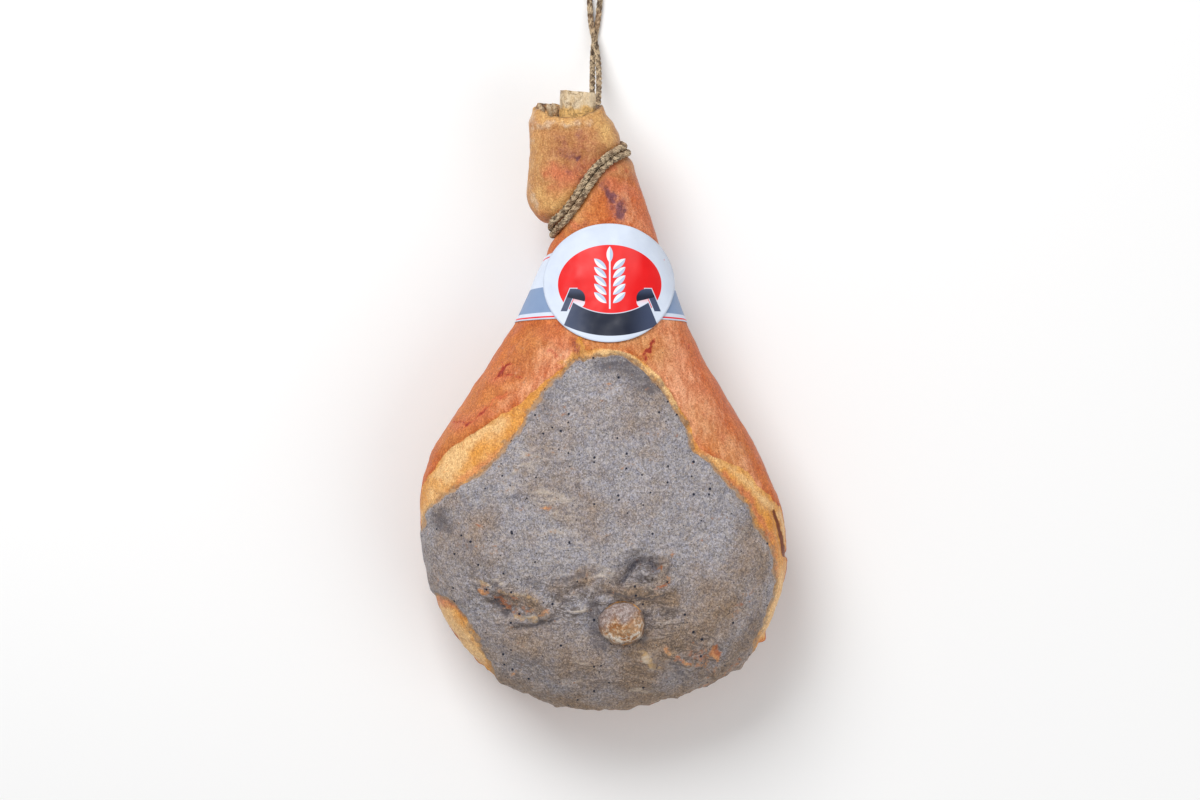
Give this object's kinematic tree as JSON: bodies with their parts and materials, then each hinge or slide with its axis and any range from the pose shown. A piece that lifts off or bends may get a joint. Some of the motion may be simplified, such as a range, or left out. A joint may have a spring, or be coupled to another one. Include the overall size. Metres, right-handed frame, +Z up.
{
  "type": "cured ham",
  "caption": "Bone-in air-cured ham resting on its skin side, its face spread with lard paste, with a paper band and oval label round the shank and a hanging cord.",
  "frame": {"origin": "on the surface that the ham lies on, under the middle of the ham", "axes": "+X across the face, +Y along the ham from the butt to the hock, +Z up out of the larded face"},
  "size_m": [0.3343, 0.757, 0.1513],
  "materials": {
    "cured_ham": "satin",
    "lard_paste": "matte",
    "band_paper": "satin",
    "label_paper": "satin",
    "twisted_cord": "matte"
  },
  "bodies": {
    "root": {"ham_leg": "cured_ham", "lard_paste": "lard_paste", "paper_band": "band_paper", "oval_label": "label_paper", "cord_sling": "twisted_cord", "cord_leg_1": "twisted_cord", "cord_leg_2": "twisted_cord", "cord_knot": "twisted_cord"}
  },
  "joints": []
}
